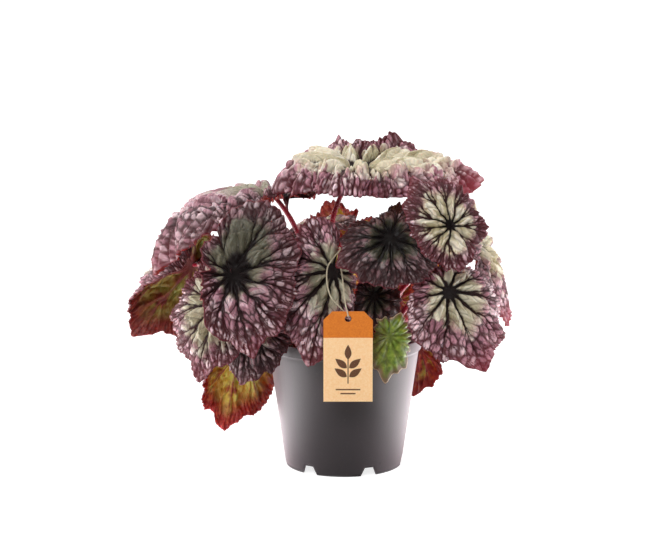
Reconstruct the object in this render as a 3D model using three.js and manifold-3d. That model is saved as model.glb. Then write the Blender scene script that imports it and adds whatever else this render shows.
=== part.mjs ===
// A rex begonia growing in a 12 cm nursery pot, with a blank hang tag looped round a leaf stalk.
//
// Millimetres, +Z up, with -Y the side that the tag hangs on. The origin is on the surface that the pot
// stands on, under the middle of the whole outline. The plant leans to the left and the back, so the pot's
// axis is off that middle, and every place below is measured from the pot's axis. Each leaf is a thin
// heart-shaped blade on a fleshy red stalk. The stalks rise from a short rhizome half sunk in the compost.

import * as THREE from "three";
import { mergeVertices } from "three/addons/utils/BufferGeometryUtils.js";
import Module from "manifold-3d";

// ---- Driving dimensions -------------------------------------------------------------------------

const GAP = 0.3; // between pieces that touch
const MIDDLE = [-20.5, 14.9]; // the middle of the plant's outline in plan, seen from the pot's axis

const POT = {
  height: 100,
  footRadius: 45.2,
  topRadius: 58.4,
  wall: 1.4,
  rimRadius: 60,
  rimBand: 8,
  floor: 1.6,
  floorLift: 7, // the floor's underside stands this high above the foot's edge
  sides: 48,
};
// Drainage cut-outs in the foot's edge, the first one this many degrees to the right of the front.
const NOTCH = { count: 6, footWidth: 13, topWidth: 7, height: 6.5, first: 24.5, margin: 2 };
const FLOOR_HOLE = { count: 6, radius: 4, ring: 24, sides: 8 };

const SOIL = {
  top: 87,
  crumb: 1.2, // height of the crumbs
  rings: [1, 0.93, 0.7, 0.45, 0.2], // shares of the top's radius
  sides: 32,
};
const RHIZOME = {
  radius: 7,
  level: 89,
  // Each arm runs between two places in plan.
  arms: [
    [-24, 5, 22, -4],
    [3, 0, -4, -20],
    [0, 2, 6, 22],
  ],
  capSteps: 3,
  sides: 8,
};

const BLADE = {
  thickness: 1.2,
  veins: [-134, -95, -60, -29, 0, 29, 60, 95, 134], // main veins, degrees from the midrib
  sinus: 176, // where the two basal lobes end, degrees from the midrib
  perSector: 3, // steps from one vein to the next
  rings: [0.2, 0.5, 0.8, 1], // shares of each ray
  steps: 60, // steps along a ray, where its curve is summed
  curl: 1.5, // a ray's slope grows with this power of the share
  lobe: 0.07, // the edge's dip between two veins, as a share of the ray
  quilt: 0.03, // height of the puckers between veins, as a share of the leaf's length
  edgeQuilt: 0.45, // what is left of the puckers at the edge
  skew: 0.08,
  waves: 5,
};
// A ray's length as a share of the midrib's: across the leaf, what the tip adds over the base, what both
// ends add, and the drawn-out point, this many radians wide. Past roundFrom degrees the basal lobes are
// rounded off by a share of their length.
const HEART = {
  across: 0.55,
  tip: 0.17,
  ends: 0.18,
  point: 0.12,
  pointWidth: 0.2,
  roundFrom: 150,
  rounded: 0.3,
  skewLean: 1.5, // skew is strongest at the base and weakest at the tip
};
const STALK = {
  footRadius: 2.4,
  topRadius: 1.7,
  sides: 5,
  steps: 6,
  sink: 5, // how far its foot stands in the compost
  lean: 0.5, // its first stretch leans outwards by this share of its foot's place
  lift: 0.5, // and climbs this share of the whole way
  reach: 0.3, // share of the whole way that its upper end runs straight
  neck: 35,
};
const TAG = {
  width: 36,
  height: 67,
  thickness: 0.8,
  corner: 6.5,
  holeRadius: 2.4,
  holeDrop: 5.5, // from the top edge to the hole's centre
  holeSides: 10,
  hole: [2.4, -74, 126.8],
};
const LOOP = { radius: 0.5, sides: 4, steps: 44, leaf: "centre" };

// Each leaf has these places, sizes and angles, in millimetres and degrees from the pot's axis and foot:
// - at is where its stalk meets the blade.
// - face is where the upper face looks: degrees to the right of the front, and degrees above level.
// - roll turns the tip away from straight downhill, to the right as seen from the front.
// - length is the ray from the stalk to the tip. breadth is the width against a usual leaf's, skew makes
//   the leaf's own left side longer and its right shorter, and base lengthens the two basal lobes.
// - droop is the slope of the edge below the leaf's own plane at its tip, left, base and right.
// - rise is the slope up out of the funnel at the stalk, and curl the power by which slopes grow outwards.
// - wave is the height of the edge's waves, and waves how many go round.
// - foot is where the stalk starts in plan, lift how far it first climbs, reach how far its upper end runs
//   straight, and neck how far it leans from square to the blade towards the base.
// - perSector is the number of steps from one vein to the next, fewer in small leaves.
// - color is the upper face's, where it isn't the usual purple.
const LEAVES = [
  {
    name: "crown", at: [10, -5, 229], face: [34, 83], roll: 46, length: 97,
    breadth: 0.95, skew: -0.1, base: 1.26, droop: [60, -65, 120, 95], rise: 14, curl: 3.2, wave: 5, waves: 7,
    foot: [-9, 3],
  },
  {
    name: "under_crown", at: [-14, 40, 184], face: [-60, 80], roll: -20, length: 46,
    droop: [40, 30, 10, 10], rise: 5, wave: 2,
    foot: [-4, 14], perSector: 2,
  },
  {
    name: "arch_left", at: [-53, -12, 210], face: [-84, 84], roll: 0, length: 124,
    breadth: 0.65, skew: -0.2, base: 0.55, droop: [95, -3, 25, 28], rise: 8, curl: 1.9, wave: 2,
    foot: [-18, 4],
  },
  {
    name: "hang_left", at: [-120, 41, 150], face: [-165, 15], roll: 42, length: 74,
    breadth: 1.2, skew: 0.15, base: 0.8, droop: [30, 150, 20, 30], rise: 5, curl: 1.3, wave: 2,
    foot: [-26, 8],
  },
  {
    name: "front_left", at: [-93, -54, 137], face: [-30, 20], roll: -8, length: 61,
    skew: -0.1, droop: [20, 30, 20, 20], rise: 5, wave: 2,
    foot: [-24, -8],
  },
  {
    name: "big_left", at: [-82, -73, 159], face: [-5, 20], roll: 15, length: 62,
    skew: 0.25, base: 1.4, droop: [20, 30, 5, -80], rise: 5, wave: 3,
    foot: [-14, -10],
  },
  {
    name: "low_left", at: [-70, -49, 124], face: [-5, 0], roll: -8, length: 54,
    base: 0.75, droop: [20, 30, 20, 30], rise: 5, wave: 2,
    foot: [-18, -20],
  },
  {
    name: "under_left", at: [-80, 22, 88], face: [-160, 10], roll: 12, length: 70,
    skew: -0.1, droop: [20, 100, 20, -30], rise: 5, wave: 2,
    foot: [-32, -4], lift: 45, reach: 30, neck: 70,
  },
  {
    name: "centre", at: [-8, -58, 160], face: [10, 4], roll: -16, length: 72,
    breadth: 0.8, skew: -0.15, base: 1.05, droop: [10, 105, 30, 30], rise: 8, wave: 2,
    foot: [-2, -20],
  },
  {
    name: "right_inner", at: [34, -60, 184], face: [8, 25], roll: -65, length: 46,
    breadth: 1.25, base: 1.4, droop: [10, 20, 20, 85], rise: 5, wave: 2,
    foot: [8, -12],
  },
  {
    name: "rosette", at: [77, -60, 193], face: [5, 12], roll: -140, length: 48,
    base: 1.3, droop: [40, 30, 20, 30], rise: 35, wave: 2,
    foot: [18, -10],
  },
  {
    name: "far_right", at: [103, 8, 175], face: [75, 25], roll: 0, length: 72,
    base: 1.25, droop: [20, 20, 20, 20], rise: 5, wave: 2,
    foot: [26, 2],
  },
  {
    name: "front_right", at: [76, -59.5, 145], face: [15, 20], roll: 18, length: 64,
    breadth: 1.15, skew: 0.04, base: 0.8, droop: [20, 60, 40, 30], rise: 12, wave: 2,
    foot: [24, -23],
  },
  {
    name: "young", at: [33, -64, 112], face: [5, 0], roll: -5, length: 34,
    breadth: 0.95, droop: [10, 80, 20, 80], rise: 5, wave: 1,
    foot: [10, -30], perSector: 2, color: 0x5c7a2c,
  },
  {
    name: "under_right", at: [62, 46, 82], face: [150, 10], roll: 10, length: 42,
    droop: [20, 20, 20, 20], rise: 5, wave: 2,
    foot: [30, 10], lift: 45, reach: 30, neck: 70, perSector: 2,
  },
  {
    name: "inner_right", at: [22, -41, 139], face: [0, 0], roll: 5, length: 33,
    droop: [20, 20, 20, 20], rise: 8, wave: 2,
    foot: [16, -24], perSector: 2,
  },
  {
    name: "back_left", at: [-74, 82, 150], face: [-138, 35], roll: 0, length: 76,
    droop: [40, 30, 10, 30], rise: 10, wave: 3,
    foot: [-20, 16],
  },
  {
    name: "back_centre", at: [4, 85, 162], face: [175, 35], roll: 12, length: 80,
    droop: [35, 30, 20, 30], rise: 12, wave: 3,
    foot: [0, 26],
  },
  {
    name: "back_right", at: [69, 61, 147], face: [140, 40], roll: -10, length: 62,
    droop: [45, 30, 20, 30], rise: 12, wave: 3,
    foot: [16, 14],
  },
  {
    name: "back_low_left", at: [-48, 70, 120], face: [-160, 15], roll: -12, length: 60,
    droop: [25, 30, 20, 30], rise: 8, wave: 2,
    foot: [-12, 28], perSector: 2,
  },
  {
    name: "back_low_right", at: [46, 72, 118], face: [155, 15], roll: 15, length: 58,
    droop: [25, 30, 20, 30], rise: 8, wave: 2,
    foot: [12, 28], perSector: 2,
  },
];

// ---- Solids -------------------------------------------------------------------------------------

const wasm = await Module();
wasm.setup();

const rad = THREE.MathUtils.degToRad;
const { lerp, smoothstep } = THREE.MathUtils;

function solidOf(geometry) {
  const bare = new THREE.BufferGeometry().setAttribute("position", geometry.getAttribute("position"));
  bare.setIndex(geometry.index);
  const merged = mergeVertices(bare, 1e-4);
  const mesh = new wasm.Mesh({
    numProp: 3,
    vertProperties: new Float32Array(merged.attributes.position.array),
    triVerts: new Uint32Array(merged.index.array),
  });
  return new wasm.Manifold(mesh);
}

function geometryOf(solid) {
  const { vertProperties, triVerts } = solid.getMesh();
  const geometry = new THREE.BufferGeometry();
  geometry.setAttribute("position", new THREE.BufferAttribute(new Float32Array(vertProperties), 3));
  return geometry.setIndex(new THREE.BufferAttribute(new Uint32Array(triVerts), 1));
}

// The largest body of a solid: a boolean cut can leave small scraps beside it.
function largestBody(solid) {
  return solid.decompose().sort((a, b) => b.volume() - a.volume())[0];
}

function indexedGeometry(points, faces) {
  const geometry = new THREE.BufferGeometry().setFromPoints(points);
  return geometry.setIndex(faces.flat());
}

// The band of faces from one ring of points to the next, each ring given by its first point.
function band(near, far, sides) {
  const faces = [];
  for (let i = 0; i < sides; i++) {
    const j = (i + 1) % sides;
    faces.push([near + i, near + j, far + j]);
    faces.push([near + i, far + j, far + i]);
  }
  return faces;
}

// A ring of points round a curve's own frame number k.
function ringAround(centre, frames, k, radius, sides) {
  return Array.from({ length: sides }, (_, i) => {
    const angle = (2 * Math.PI * i) / sides;
    const across = frames.normals[k].clone().multiplyScalar(Math.cos(angle) * radius);
    return across.addScaledVector(frames.binormals[k], Math.sin(angle) * radius).add(centre);
  });
}

// ---- Leaf blades --------------------------------------------------------------------------------

// Unit vectors of a leaf: out of its upper face, towards its tip, and to its left.
function leafAxes({ face: [azimuth, elevation], roll }) {
  const [a, e, r] = [azimuth, elevation, roll].map(rad);
  const normal = new THREE.Vector3(Math.sin(a) * Math.cos(e), -Math.cos(a) * Math.cos(e), Math.sin(e));
  const downhill = new THREE.Vector3(Math.sin(a) * Math.sin(e), -Math.cos(a) * Math.sin(e), -Math.cos(e));
  const level = normal.clone().cross(downhill);
  const tip = downhill.multiplyScalar(Math.cos(r)).addScaledVector(level, Math.sin(r));
  return { normal, tip, left: normal.clone().cross(tip) };
}

// The direction in the leaf's own plane at an angle from the midrib.
function outwardsAt({ tip, left }, angle) {
  return tip.clone().multiplyScalar(Math.cos(angle)).addScaledVector(left, Math.sin(angle));
}

const sectorEdges = [-BLADE.sinus, ...BLADE.veins, BLADE.sinus].map(rad);

// 0 on a main vein and at the sinus, 1 midway between two veins.
function between(angle) {
  const k = sectorEdges.findIndex((edge) => angle <= edge + 1e-9);
  const [low, high] = [sectorEdges[Math.max(k - 1, 0)], sectorEdges[Math.max(k, 1)]];
  return Math.sin((Math.PI * (angle - low)) / (high - low));
}

// Length of the ray at an angle from the midrib: an oblique heart with a short drawn-out tip.
function rayLength(angle, { length, breadth = 1, skew = BLADE.skew, base = 1 }) {
  const [c, s] = [Math.cos(angle), Math.sin(angle)];
  const point = HEART.point * Math.exp(-((angle / HEART.pointWidth) ** 2));
  const heart = HEART.across + HEART.tip * c + HEART.ends * c * c + point;
  const oval = 1 / Math.hypot(c, s / breadth);
  const rounding = smoothstep(Math.abs(angle), rad(HEART.roundFrom), rad(BLADE.sinus));
  const lobes = (1 - HEART.rounded * rounding) * (1 + (base - 1) * smoothstep(-c, -0.4, 0.8));
  const oblique = 1 + skew * s * (HEART.skewLean - c);
  return length * heart * oval * lobes * oblique * (1 - BLADE.lobe * between(angle));
}

// The slope of the edge in a direction: the four stated slopes, shared out by squared cosines.
function edgeSlope(angle, { droop: [tip, left, base, right] }) {
  const [c, s] = [Math.cos(angle), Math.sin(angle)];
  return rad(c * c * (c > 0 ? tip : base) + s * s * (s > 0 ? left : right));
}

// Points of one ray at the given shares, in the leaf's own axes as [outwards, up, slope].
// The ray's slope runs from the funnel's rise to the edge's slope, and its length is kept.
function rayProfile(angle, leaf, shares) {
  const { curl = BLADE.curl } = leaf;
  const [rise, edge, step] = [rad(leaf.rise), edgeSlope(angle, leaf), rayLength(angle, leaf) / BLADE.steps];
  const slopeAt = (share) => (edge + rise) * share ** curl - rise;
  return shares.map((share) => {
    let [out, up] = [0, 0];
    for (let k = 0; k < Math.round(share * BLADE.steps); k++) {
      const slope = slopeAt((k + 0.5) / BLADE.steps);
      out += step * Math.cos(slope);
      up -= step * Math.sin(slope);
    }
    return [out, up, slopeAt(share)];
  });
}

// Puckers stand up between the main veins, flat at the stalk and lower again at the edge, and the
// edge itself waves up and down.
function relief(angle, share, { length, wave, waves = BLADE.waves }) {
  const envelope = smoothstep(share, 0.05, 0.3) * lerp(1, BLADE.edgeQuilt, smoothstep(share, 0.7, 1));
  return BLADE.quilt * length * envelope * between(angle) + wave * share ** 3 * Math.sin(waves * angle);
}

// The blade's middle surface: a fan of rays round the stalk, open along the sinus past its first ring.
function middleSurface(leaf) {
  const axes = leafAxes(leaf);
  const { perSector = BLADE.perSector } = leaf;
  const angles = sectorEdges.slice(1).flatMap((high, k) => {
    const low = sectorEdges[k];
    return Array.from({ length: perSector }, (_, i) => low + ((high - low) * i) / perSector);
  });
  angles.push(sectorEdges.at(-1));
  const centre = new THREE.Vector3(...leaf.at);
  const rays = angles.map((angle) => {
    const outwards = outwardsAt(axes, angle);
    return rayProfile(angle, leaf, BLADE.rings).map(([out, up, slope], k) => {
      const raised = relief(angle, BLADE.rings[k], leaf);
      const point = centre.clone().addScaledVector(outwards, out + raised * Math.sin(slope));
      return point.addScaledVector(axes.normal, up + raised * Math.cos(slope));
    });
  });
  const rings = BLADE.rings.length;
  const at = (i, k) => 1 + i * rings + k;
  const faces = [];
  for (let i = 0; i < angles.length - 1; i++) {
    faces.push([0, at(i, 0), at(i + 1, 0)]);
    for (let k = 0; k < rings - 1; k++) {
      faces.push([at(i, k), at(i, k + 1), at(i + 1, k + 1)]);
      faces.push([at(i, k), at(i + 1, k + 1), at(i + 1, k)]);
    }
  }
  const last = angles.length - 1;
  faces.push([0, at(last, 0), at(0, 0)]); // the lobes join round the stalk
  const border = [];
  for (let k = 0; k < rings; k++) border.push(at(0, k));
  for (let i = 1; i < last; i++) border.push(at(i, rings - 1));
  for (let k = rings - 1; k >= 0; k--) border.push(at(last, k));
  return { points: [centre, ...rays.flat()], faces, border };
}

// A closed blade of the given thickness round the middle surface, with its two faces split alike.
function bladeGeometry(leaf, thickness) {
  const { points, faces, border } = middleSurface(leaf);
  const surface = indexedGeometry(points, faces);
  surface.computeVertexNormals();
  const normalAt = (i) => new THREE.Vector3().fromBufferAttribute(surface.getAttribute("normal"), i);
  const shifted = (distance) => points.map((p, i) => p.clone().addScaledVector(normalAt(i), distance));
  const count = points.length;
  const walls = border.flatMap((p, i) => {
    const q = border[(i + 1) % border.length];
    return [
      [q, p, p + count],
      [q, p + count, q + count],
    ];
  });
  const under = faces.map(([a, b, c]) => [c + count, b + count, a + count]);
  const skins = [...shifted(thickness / 2), ...shifted(-thickness / 2)];
  return indexedGeometry(skins, [...faces, ...under, ...walls]);
}

// A point at an angle from the midrib and a distance along the blade, lifted off its upper face.
function onBlade(leaf, degrees, distance, lift) {
  const [axes, angle] = [leafAxes(leaf), rad(degrees)];
  const [[out, up]] = rayProfile(angle, leaf, [distance / rayLength(angle, leaf)]);
  const point = new THREE.Vector3(...leaf.at).addScaledVector(outwardsAt(axes, angle), out);
  return point.addScaledVector(axes.normal, up + lift);
}

// ---- Stalks and rhizome -------------------------------------------------------------------------

// A tube along a curve whose radius runs evenly from one end to the other, closed by flat ends.
function taperedTube(curve, startRadius, endRadius, steps, sides) {
  const frames = curve.computeFrenetFrames(steps, false);
  const points = [];
  const faces = [];
  for (let k = 0; k <= steps; k++) {
    const radius = lerp(startRadius, endRadius, k / steps);
    points.push(...ringAround(curve.getPointAt(k / steps), frames, k, radius, sides));
    if (k > 0) faces.push(...band((k - 1) * sides, k * sides, sides));
  }
  const top = steps * sides;
  for (let i = 2; i < sides; i++) faces.push([0, i, i - 1], [top, top + i - 1, top + i]);
  return indexedGeometry(points, faces);
}

// A stalk climbs out of the compost, arches over and meets its blade from behind.
function stalkCurve(leaf) {
  const { normal, tip } = leafAxes(leaf);
  const [x, y] = leaf.foot;
  const start = new THREE.Vector3(x, y, SOIL.top - STALK.sink);
  const end = new THREE.Vector3(...leaf.at);
  const span = start.distanceTo(end);
  const neck = rad(leaf.neck ?? STALK.neck);
  const back = normal.multiplyScalar(-Math.cos(neck)).addScaledVector(tip, -Math.sin(neck));
  const rising = new THREE.Vector3(x * STALK.lean, y * STALK.lean, leaf.lift ?? span * STALK.lift).add(start);
  const arriving = end.clone().addScaledVector(back, leaf.reach ?? span * STALK.reach);
  return new THREE.CubicBezierCurve3(start, rising, arriving, end);
}

function stalkSolid(leaf, extra) {
  const { footRadius, topRadius, steps, sides } = STALK;
  return solidOf(taperedTube(stalkCurve(leaf), footRadius + extra, topRadius + extra, steps, sides));
}

// Knobbly arms that lie level and meet at the crown, each a capsule.
function rhizomeSolid(extra) {
  const { radius, level, arms, capSteps, sides } = RHIZOME;
  const upright = new THREE.Vector3(0, 1, 0);
  const capsules = arms.map(([x0, y0, x1, y1]) => {
    const start = new THREE.Vector3(x0, y0, level);
    const along = new THREE.Vector3(x1, y1, level).sub(start);
    const capsule = new THREE.CapsuleGeometry(radius + extra, along.length(), capSteps, sides);
    const turn = new THREE.Quaternion().setFromUnitVectors(upright, along.clone().normalize());
    return solidOf(capsule.applyQuaternion(turn).translate(...start.addScaledVector(along, 0.5)));
  });
  return wasm.Manifold.union(capsules);
}

// ---- Pot and compost ----------------------------------------------------------------------------

// The pot's wall widens evenly from the foot to the rim's band.
function potRadius(z) {
  return lerp(POT.footRadius, POT.topRadius, z / (POT.height - POT.rimBand));
}

function turned(profile, sides) {
  const outline = [...profile, profile[0]].map(([r, z]) => new THREE.Vector2(r, z));
  return solidOf(new THREE.LatheGeometry(outline, sides).rotateX(Math.PI / 2));
}

// Copies of a cutter that stands at the front, turned evenly round the pot's axis.
function allRound(cutter, count, first) {
  const angles = Array.from({ length: count }, (_, k) => first + (360 * k) / count);
  return angles.map((angle) => solidOf(cutter.clone().rotateZ(rad(angle))));
}

function notchCutter() {
  const { footWidth, topWidth, height, margin } = NOTCH;
  const outline = new THREE.Shape();
  outline.moveTo(-footWidth / 2, -margin);
  outline.lineTo(footWidth / 2, -margin);
  outline.lineTo(topWidth / 2, height);
  outline.lineTo(-topWidth / 2, height);
  outline.closePath();
  const inside = 2 * POT.wall + margin;
  const cutter = new THREE.ExtrudeGeometry(outline, { depth: inside + margin, bevelEnabled: false });
  return cutter.rotateX(Math.PI / 2).translate(0, inside - POT.footRadius, 0);
}

function floorHoleCutter() {
  const { radius, ring, sides } = FLOOR_HOLE;
  const cutter = new THREE.CylinderGeometry(radius, radius, 4 * POT.floor, sides);
  return cutter.rotateX(Math.PI / 2).translate(0, -ring, POT.floorLift);
}

function potSolid() {
  const { height, rimBand, rimRadius, wall, floor, floorLift, sides } = POT;
  const [ledge, floorTop] = [height - rimBand, floorLift + floor];
  const profile = [
    [0, floorLift],
    [potRadius(floorLift) - wall, floorLift],
    [potRadius(0) - wall, 0],
    [potRadius(0), 0],
    [potRadius(ledge), ledge],
    [rimRadius, ledge],
    [rimRadius, height],
    [rimRadius - wall, height],
    [potRadius(ledge) - wall, ledge],
    [potRadius(floorTop) - wall, floorTop],
    [0, floorTop],
  ];
  const notches = allRound(notchCutter(), NOTCH.count, NOTCH.first);
  const floorHoles = allRound(floorHoleCutter(), FLOOR_HOLE.count, 0);
  return turned(profile, sides).subtract(wasm.Manifold.union([...notches, ...floorHoles]));
}

// Compost up to below the rim: its top rolls in two crossing sets of crumbly waves.
function soilSolid() {
  const { top, crumb, rings, sides } = SOIL;
  const inside = (z) => potRadius(z) - POT.wall - GAP;
  const foot = POT.floorLift + POT.floor + GAP;
  const height = (x, y) => {
    const wide = Math.sin(0.31 * x + 1.3) * Math.cos(0.27 * y);
    return top + crumb * (wide + 0.6 * Math.sin(0.53 * x - 0.71 * y));
  };
  const ring = (radius, level) =>
    Array.from({ length: sides }, (_, i) => {
      const angle = (2 * Math.PI * i) / sides;
      const [x, y] = [radius * Math.cos(angle), radius * Math.sin(angle)];
      return new THREE.Vector3(x, y, level ?? height(x, y));
    });
  const edge = inside(top - 2 * crumb);
  const points = [...ring(inside(foot), foot), ...rings.flatMap((share) => ring(edge * share))];
  const [floorCentre, peak] = [points.length, points.length + 1];
  points.push(new THREE.Vector3(0, 0, foot), new THREE.Vector3(0, 0, height(0, 0)));
  const faces = [];
  for (let k = 0; k < rings.length; k++) faces.push(...band(k * sides, (k + 1) * sides, sides));
  for (let i = 0; i < sides; i++) {
    const j = (i + 1) % sides;
    faces.push([floorCentre, j, i], [peak, rings.length * sides + i, rings.length * sides + j]);
  }
  return solidOf(indexedGeometry(points, faces));
}

// ---- Tag and loop -------------------------------------------------------------------------------

// A card with its top corners cut off and a hole near its top edge.
function tagGeometry() {
  const { width, height, thickness, corner, holeRadius, holeDrop, holeSides, hole } = TAG;
  const [side, top, foot] = [width / 2, holeDrop, holeDrop - height];
  const card = new THREE.Shape();
  card.moveTo(-side, foot);
  card.lineTo(side, foot);
  card.lineTo(side, top - corner);
  card.lineTo(side - corner, top);
  card.lineTo(corner - side, top);
  card.lineTo(-side, top - corner);
  card.closePath();
  card.holes.push(new THREE.Path().absarc(0, 0, holeRadius, 0, 2 * Math.PI, true));
  const settings = { depth: thickness, bevelEnabled: false, curveSegments: holeSides };
  const geometry = new THREE.ExtrudeGeometry(card, settings).rotateX(Math.PI / 2);
  return geometry.translate(hole[0], hole[1] + thickness / 2, hole[2]);
}

// A closed ring of elastic: out through the hole, up over the blade, through its sinus and round its
// stalk, and back down. The first strand is the one that starts at the front of the card.
function loopCurve(leaf) {
  const hole = new THREE.Vector3(...TAG.hole);
  const fromHole = (x, y, z) => new THREE.Vector3(x, y, z).add(hole);
  const points = [
    fromHole(0, 0, 1.4),
    fromHole(-0.1, -1.5, 2.2),
    fromHole(-0.3, -1.8, 4),
    fromHole(-2, -2, 11),
    onBlade(leaf, 60, 8, 5),
    onBlade(leaf, 180, 12, 2),
    onBlade(leaf, 180, 13, -2.5),
    onBlade(leaf, 100, 5, -6),
    onBlade(leaf, 0, 7, -7),
    onBlade(leaf, -100, 6, -6),
    onBlade(leaf, 180, 17, -2.5),
    onBlade(leaf, 180, 16, 2),
    onBlade(leaf, -100, 6, 5),
    fromHole(-13, -1, 17),
    fromHole(-6, 1.4, 8.5),
    fromHole(-0.4, 1.5, 2.2),
  ];
  return new THREE.CatmullRomCurve3(points, true, "centripetal");
}

function closedTube(curve, { radius, steps, sides }) {
  const frames = curve.computeFrenetFrames(steps, true);
  const points = [];
  const faces = [];
  for (let k = 0; k < steps; k++) {
    points.push(...ringAround(curve.getPointAt(k / steps), frames, k, radius, sides));
    faces.push(...band(k * sides, ((k + 1) % steps) * sides, sides));
  }
  return indexedGeometry(points, faces);
}

// ---- Assembly -----------------------------------------------------------------------------------

const group = new THREE.Group();
group.position.set(-MIDDLE[0], -MIDDLE[1], 0);

function add(name, geometry, color, roughness) {
  const mesh = new THREE.Mesh(geometry, new THREE.MeshStandardMaterial({ color, roughness, metalness: 0 }));
  mesh.name = name;
  group.add(mesh);
}

const rhizomeClearance = rhizomeSolid(GAP);
const soilHoles = [rhizomeClearance];
for (const leaf of LEAVES) {
  add(`blade_${leaf.name}`, bladeGeometry(leaf, BLADE.thickness), leaf.color ?? 0x7b4a5e, 0.6);
  const clear = solidOf(bladeGeometry(leaf, BLADE.thickness + 2 * GAP)).add(rhizomeClearance);
  add(`stalk_${leaf.name}`, geometryOf(largestBody(stalkSolid(leaf, 0).subtract(clear))), 0x9c2438, 0.45);
  soilHoles.push(stalkSolid(leaf, GAP));
}
add("rhizome", geometryOf(rhizomeSolid(0)), 0x6a4a34, 0.8);
const soil = soilSolid().subtract(wasm.Manifold.union(soilHoles));
add("soil", geometryOf(largestBody(soil)), 0x2e231c, 0.95);
add("pot", geometryOf(potSolid()), 0x3b3a3f, 0.42);
add("tag", tagGeometry(), 0xf2b06a, 0.7);
const taggedLeaf = LEAVES.find((leaf) => leaf.name === LOOP.leaf);
add("tag_loop", closedTube(loopCurve(taggedLeaf), LOOP), 0xe6dfd2, 0.4);

export default group;
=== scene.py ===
"""A rex begonia in a nursery pot: puckered two-faced leaves on hairy red stalks, a knobbly rhizome,
crumbly compost, a moulded pot, and a card tag printed with a sprig on its elastic.

Lengths are millimetres in the code and metres in the meshes, with +Z up. Each leaf is worked out from
the same few sizes and angles as its solid, and then gets its veins, puckers and teeth."""

from functools import partial
from types import SimpleNamespace as Sizes

import bpy
import numpy as np
from numpy import (arange, array, clip, cos, cross, cumsum, diff, exp, hypot, linspace, maximum, minimum,
                   moveaxis, pi, radians, roll, sin, stack, where)
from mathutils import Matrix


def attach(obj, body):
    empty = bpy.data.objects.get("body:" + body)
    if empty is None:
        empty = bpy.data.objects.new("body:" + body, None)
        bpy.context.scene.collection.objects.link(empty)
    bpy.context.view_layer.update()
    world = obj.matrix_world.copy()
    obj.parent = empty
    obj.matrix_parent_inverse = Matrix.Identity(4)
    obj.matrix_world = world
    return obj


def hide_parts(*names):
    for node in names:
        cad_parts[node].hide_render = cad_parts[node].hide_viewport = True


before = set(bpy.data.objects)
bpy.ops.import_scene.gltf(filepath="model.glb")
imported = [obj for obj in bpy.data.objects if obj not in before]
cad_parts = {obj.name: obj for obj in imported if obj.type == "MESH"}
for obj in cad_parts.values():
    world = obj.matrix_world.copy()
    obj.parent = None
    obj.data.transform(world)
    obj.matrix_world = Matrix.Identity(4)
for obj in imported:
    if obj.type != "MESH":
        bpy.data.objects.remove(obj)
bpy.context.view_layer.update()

MM = 0.001
AXIS = array([20.5, -14.9, 0])  # where the pot's axis stands in the object's frame

# ---- Driving dimensions ----

GAP = 0.3  # between the compost and the pot
POT = Sizes(height=100, foot=45.2, top=58.4, wall=1.4, rim=60, band=8, floor=1.6, lift=7, bevel=0.4)
NOTCH = Sizes(count=6, foot=13, top=7, height=6.5, first=24.5)
GATE_MARK = (27.4, -37.3, 8.7)  # from the pot's axis, low on the wall to the right of the front
FLOOR_HOLE = Sizes(count=6, radius=4, ring=24)
SOIL = Sizes(top=87, edge=2.4, wave=1.2, crumbs=1.1, loose=620, spread=53)
RHIZOME = Sizes(radius=7, level=89, ring=6.5, arms=[(-24, 5, 22, -4), (3, 0, -4, -20), (0, 2, 6, 22)])
STALK = Sizes(foot=2.4, top=1.7, flare=0.8, stop=1.5, sink=5, lean=0.5, lift=0.5, reach=0.3)
HAIR = Sizes(per_mm=2.2, radius=0.1, length=(1.0, 2.4), rooted=0.15)
TAG = Sizes(width=36, height=67, thickness=0.8, corner=6.5, hole=2.4, drop=5.5, at=(2.4, -74, 126.8),
           header=19.5, film=0.04)
LOOP = Sizes(radius=0.5, ridge=0.8)
CAMERA = Sizes(target=(-11.5, 0, 145), distance=1200, elevation=8.5, lens=85)  # target from the pot's axis

VEINS = [-134, -95, -60, -29, 0, 29, 60, 95, 134]  # main veins, degrees from the midrib
SINUS = 176  # where the two basal lobes end

# The columns of a leaf are as in its solid: where its stalk meets it, where its face looks, its roll and
# length, the slopes of its edge at the tip, left, base and right, the funnel's rise, the height of its
# waves and its stalk's foot. silver is how broad its pale patches are, and warm how creamy.
COLUMNS = "name at face roll length droop rise wave foot silver warm".split()
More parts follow.
